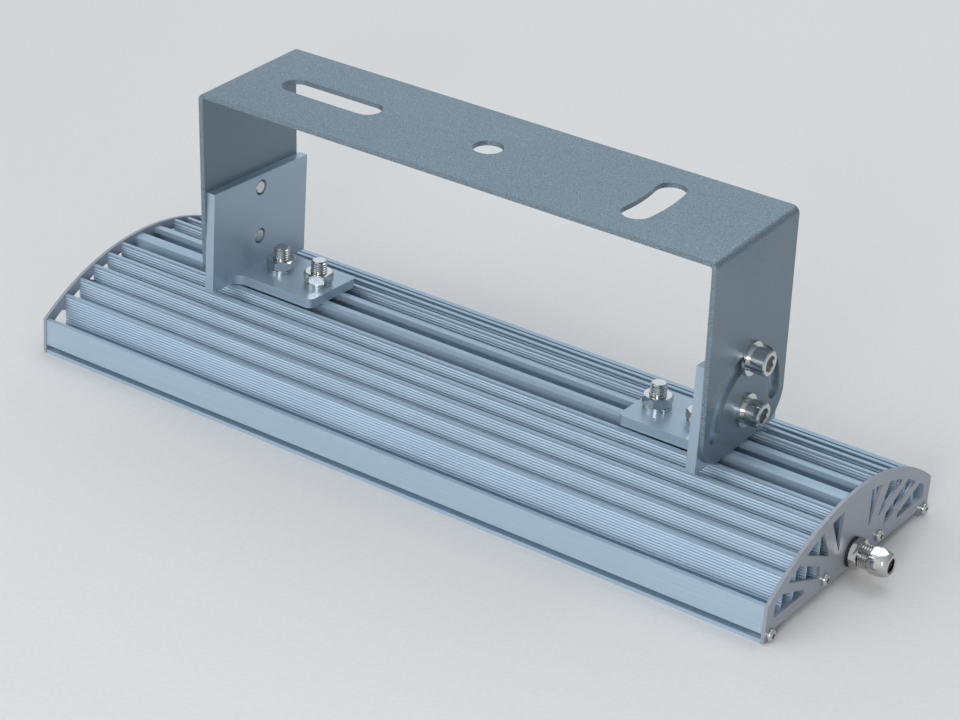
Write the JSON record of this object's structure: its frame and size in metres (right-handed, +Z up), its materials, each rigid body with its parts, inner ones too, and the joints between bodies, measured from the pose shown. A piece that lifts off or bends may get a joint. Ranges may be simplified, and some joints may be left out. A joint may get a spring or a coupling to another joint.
{
  "type": "led flood light",
  "caption": "Linear LED flood light: finned arched aluminium body on a tilting U bracket with slotted mounting holes, fan-cut end plates and a brass cable gland",
  "frame": {"origin": "middle of the lamp body's footprint, on the plane that its rails stand on", "axes": "+X along the lamp towards the cable gland, +Y towards the rear edge, +Z up, away from the cover glass"},
  "size_m": [0.5371, 0.188, 0.186],
  "materials": {
    "extruded_aluminium": "satin anodised extrusion",
    "plate_aluminium": "satin cut sheet",
    "anodised_aluminium": "satin anodised, sawn edges",
    "bracket_paint": "fine metallic powder coat on steel",
    "stainless_steel": "bright stainless",
    "nickel_brass": "bright nickel plating",
    "black_rubber": "matte black",
    "circuit_board": "white solder mask",
    "led_phosphor": "yellow phosphor in a white package",
    "silicone_seal": "pale grey silicone",
    "clear_glass": "clear tempered glass"
  },
  "bodies": {
    "lamp": {"heat_sink": "extruded_aluminium", "end_plate_left": "plate_aluminium", "end_plate_right": "plate_aluminium", "end_plate_screws_left": "stainless_steel", "end_plate_screws_right": "stainless_steel", "gland_gasket": "black_rubber", "gland_body": "nickel_brass", "gland_dome_nut": "nickel_brass", "gland_seal": "black_rubber", "gland_locknut": "nickel_brass", "angle_plate_left": "anodised_aluminium", "angle_plate_right": "anodised_aluminium", "channel_bolts_left": "stainless_steel", "channel_bolts_right": "stainless_steel", "bolt_spring_washers_left": "stainless_steel", "bolt_spring_washers_right": "stainless_steel", "channel_nuts_left": "stainless_steel", "channel_nuts_right": "stainless_steel", "pivot_screw_left": "stainless_steel", "pivot_screw_right": "stainless_steel", "lock_screw_left": "stainless_steel", "lock_screw_right": "stainless_steel", "flat_washers_left": "stainless_steel", "flat_washers_right": "stainless_steel", "spring_washers_left": "stainless_steel", "spring_washers_right": "stainless_steel", "led_board_left": "circuit_board", "led_board_right": "circuit_board", "led_packages": "led_phosphor", "board_screws": "stainless_steel", "frame_gasket": "silicone_seal", "cover_glass": "clear_glass"},
    "mounting_bracket": {"bracket": "bracket_paint"}
  },
  "joints": [
    {"name": "bracket_tilt", "type": "hinge", "parent": "lamp", "child": "mounting_bracket", "pos_m": [0.004, 0, 0.076], "axis": [1, 0, 0], "range_deg": [-9.5, 2.5]}
  ]
}
